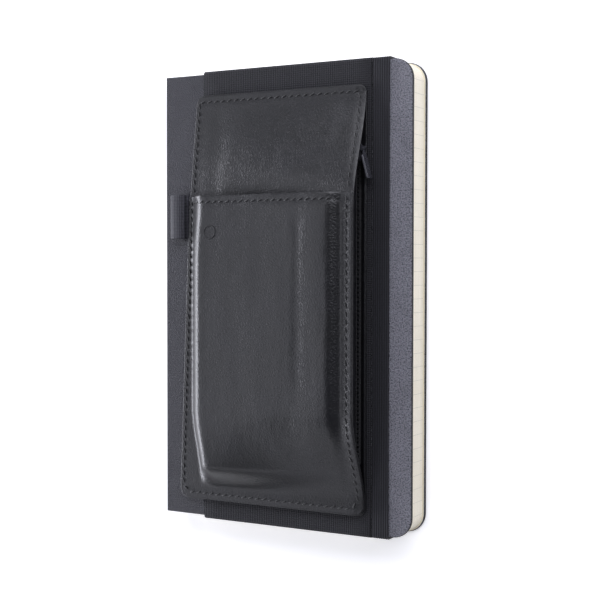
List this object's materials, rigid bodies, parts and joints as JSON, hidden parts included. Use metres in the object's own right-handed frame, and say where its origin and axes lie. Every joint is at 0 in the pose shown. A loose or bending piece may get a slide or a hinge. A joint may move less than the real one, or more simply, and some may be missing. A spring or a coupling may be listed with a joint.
{
  "type": "hard-cover notebook with zip pouch belt",
  "caption": "Large hard-cover notebook with rounded fore-edge corners, an elastic closure band, and a zipped leather pouch with front pocket and pen loop on a wide elastic belt.",
  "frame": {"origin": "centre of the notebook's outline on the back cover's outer face", "axes": "+Z out of the front cover, +X towards the fore-edge, +Y towards the head of the page"},
  "size_m": [0.13, 0.2124, 0.0343],
  "materials": {
    "leatherette": "pebbled",
    "greyboard": "matt",
    "endpaper": "matt",
    "paper": "matt, ruled",
    "binding_cloth": "woven",
    "ribbon": "satin",
    "belt_elastic": "woven elastic",
    "closure_elastic": "ribbed elastic",
    "pouch_leather": "smooth satin",
    "zip_tape": "woven",
    "zip_metal": "satin black",
    "thread": "waxed"
  },
  "bodies": {
    "back_cover": {"back_cover_skin": "leatherette", "back_board": "greyboard", "back_pastedown": "endpaper", "closure_anchor_head": "closure_elastic", "closure_anchor_tail": "closure_elastic"},
    "page_block": {"spine_skin": "leatherette", "spine_board": "greyboard", "spine_gauze": "binding_cloth", "headband_head": "binding_cloth", "headband_tail": "binding_cloth", "rear_flyleaf": "endpaper", "ribbon_marker": "ribbon", "signature_02": "paper", "signature_03": "paper", "signature_04": "paper", "signature_05": "paper", "signature_06": "paper", "signature_07": "paper", "signature_08": "paper", "signature_09": "paper", "signature_10": "paper"},
    "first_section": {"signature_01": "paper"},
    "flyleaf": {"front_flyleaf": "endpaper"},
    "front_cover": {"front_cover_skin": "leatherette", "front_board": "greyboard", "front_pastedown": "endpaper"},
    "closure_band": {"closure_front": "closure_elastic", "closure_edge_head": "closure_elastic", "closure_edge_tail": "closure_elastic"},
    "tool_belt": {"belt_front": "belt_elastic", "belt_inner": "belt_elastic", "belt_turn_head": "belt_elastic", "belt_turn_tail": "belt_elastic", "pouch_base": "pouch_leather", "pouch_main_panel": "pouch_leather", "pouch_pocket_panel": "pouch_leather", "gusset_strip": "pouch_leather", "gusset_end_head": "pouch_leather", "gusset_end_tail": "pouch_leather", "gusset_foot": "pouch_leather", "zip_tape_lower": "zip_tape", "zip_tape_upper": "zip_tape", "zip_teeth_lower": "zip_metal", "zip_teeth_upper": "zip_metal", "zip_stop_head": "zip_metal", "zip_stop_tail": "zip_metal", "pen_loop": "zip_tape", "seam_upper": "thread", "seam_lower": "thread", "seam_pocket_mouth": "thread"},
    "slider": {"zip_slider": "zip_metal"},
    "pull": {"zip_pull": "zip_metal"}
  },
  "joints": [
    {"name": "rear_hinge", "type": "hinge", "parent": "back_cover", "child": "page_block", "pos_m": [-0.0652, 0, 0.0025], "axis": [0, -1, 0], "range_deg": [0, 150]},
    {"name": "front_hinge", "type": "hinge", "parent": "page_block", "child": "front_cover", "pos_m": [-0.0652, 0, 0.0142], "axis": [0, -1, 0], "range_deg": [0, 175]},
    {"name": "flyleaf_turn", "type": "hinge", "parent": "page_block", "child": "flyleaf", "pos_m": [-0.0652, 0, 0.0142], "axis": [0, -1, 0], "range_deg": [0, 170]},
    {"name": "section_turn", "type": "hinge", "parent": "page_block", "child": "first_section", "pos_m": [-0.0652, 0, 0.0142], "axis": [0, -1, 0], "range_deg": [0, 165]},
    {"name": "closure_pull", "type": "slide", "parent": "back_cover", "child": "closure_band", "axis": [0.65, 0, 0.76], "range_m": [0, 0.034], "stiffness_N_per_m": 60, "deforming": ["closure_edge_head", "closure_edge_tail", "closure_front"]},
    {"name": "belt_slide", "type": "slide", "parent": "front_cover", "child": "tool_belt", "axis": [1, 0, 0], "range_m": [0, 0.126]},
    {"name": "zip_slide", "type": "slide", "parent": "tool_belt", "child": "slider", "axis": [0, -1, 0], "range_m": [0, 0.132]},
    {"name": "pull_turn", "type": "hinge", "parent": "slider", "child": "pull", "pos_m": [0.04375, 0.0661, 0.0223], "axis": [0, 0, 1], "range_deg": [-8, 140]}
  ],
  "couplings": [
    {"joint": "flyleaf_turn", "follows": "front_hinge", "ratio": 0.97},
    {"joint": "section_turn", "follows": "front_hinge", "ratio": 0.94}
  ]
}
